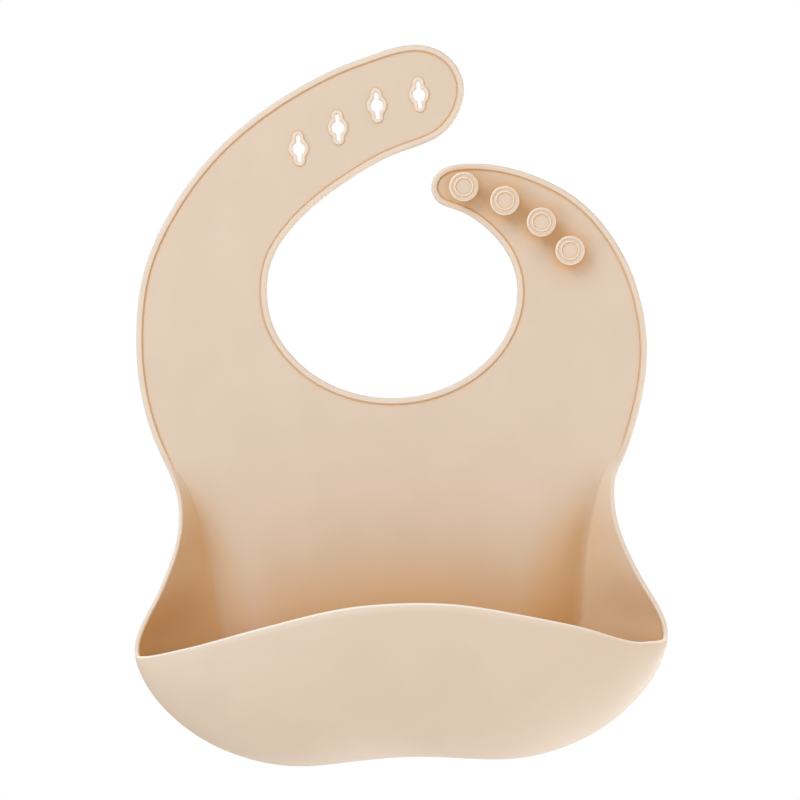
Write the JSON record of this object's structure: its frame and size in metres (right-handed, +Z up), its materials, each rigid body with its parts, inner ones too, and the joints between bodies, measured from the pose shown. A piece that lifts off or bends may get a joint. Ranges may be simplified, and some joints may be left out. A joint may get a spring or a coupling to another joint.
{
  "type": "silicone bib",
  "caption": "Soft one-piece silicone bib with a wide open catch-all pocket and two neck straps that close with mushroom buttons pushed through keyhole slots.",
  "frame": {"origin": "middle of the neck opening, on the sheet's rear face", "axes": "+Z up as the bib hangs on a wearer, the front and the pocket face -Y, +X to the right as seen from the front"},
  "size_m": [0.2265, 0.0473, 0.3098],
  "materials": {
    "silicone": "soft satin"
  },
  "bodies": {
    "chest": {"chest_panel": "silicone", "waist": "silicone", "left_shoulder": "silicone", "right_shoulder": "silicone"},
    "slotted_strap": {"slotted_strap": "silicone", "slotted_strap_bend": "silicone"},
    "slotted_end": {"slotted_end": "silicone", "slot_collar_1": "silicone", "slot_collar_2": "silicone", "slot_collar_3": "silicone", "slot_collar_4": "silicone"},
    "button_strap": {"button_strap": "silicone", "button_1": "silicone", "button_2": "silicone", "button_3": "silicone", "button_4": "silicone"},
    "pocket": {"pocket_back": "silicone", "left_gusset": "silicone", "right_gusset": "silicone"},
    "pocket_front": {"pocket_front": "silicone", "pocket_floor": "silicone"}
  },
  "joints": [
    {"name": "waist_bend", "type": "hinge", "parent": "chest", "child": "pocket", "pos_m": [0, -0.001, -0.062], "axis": [-1, 0, 0], "range_deg": [-20, 60], "stiffness_Nm_per_rad": 0.3, "deforming": ["waist"]},
    {"name": "slotted_strap_bend", "type": "hinge", "parent": "chest", "child": "slotted_strap", "pos_m": [-0.08, -0.001, -0.004], "axis": [-1, 0, 0], "range_deg": [-20, 85], "stiffness_Nm_per_rad": 0.1, "deforming": ["left_shoulder"]},
    {"name": "slotted_end_bend", "type": "hinge", "parent": "slotted_strap", "child": "slotted_end", "pos_m": [-0.05745, -0.001, 0.04821], "axis": [-0.766, 0, 0.6428], "range_deg": [-30, 75], "stiffness_Nm_per_rad": 0.05, "deforming": ["slotted_strap_bend"]},
    {"name": "button_strap_bend", "type": "hinge", "parent": "chest", "child": "button_strap", "pos_m": [0.08, -0.001, -0.004], "axis": [-1, 0, 0], "range_deg": [-20, 85], "stiffness_Nm_per_rad": 0.1, "deforming": ["right_shoulder"]},
    {"name": "pocket_open", "type": "hinge", "parent": "pocket", "child": "pocket_front", "pos_m": [0.005, -0.001, -0.19], "axis": [0.9994, 0, 0.0349], "range_deg": [-18, 15], "stiffness_Nm_per_rad": 0.3, "deforming": ["left_gusset", "right_gusset"]}
  ]
}
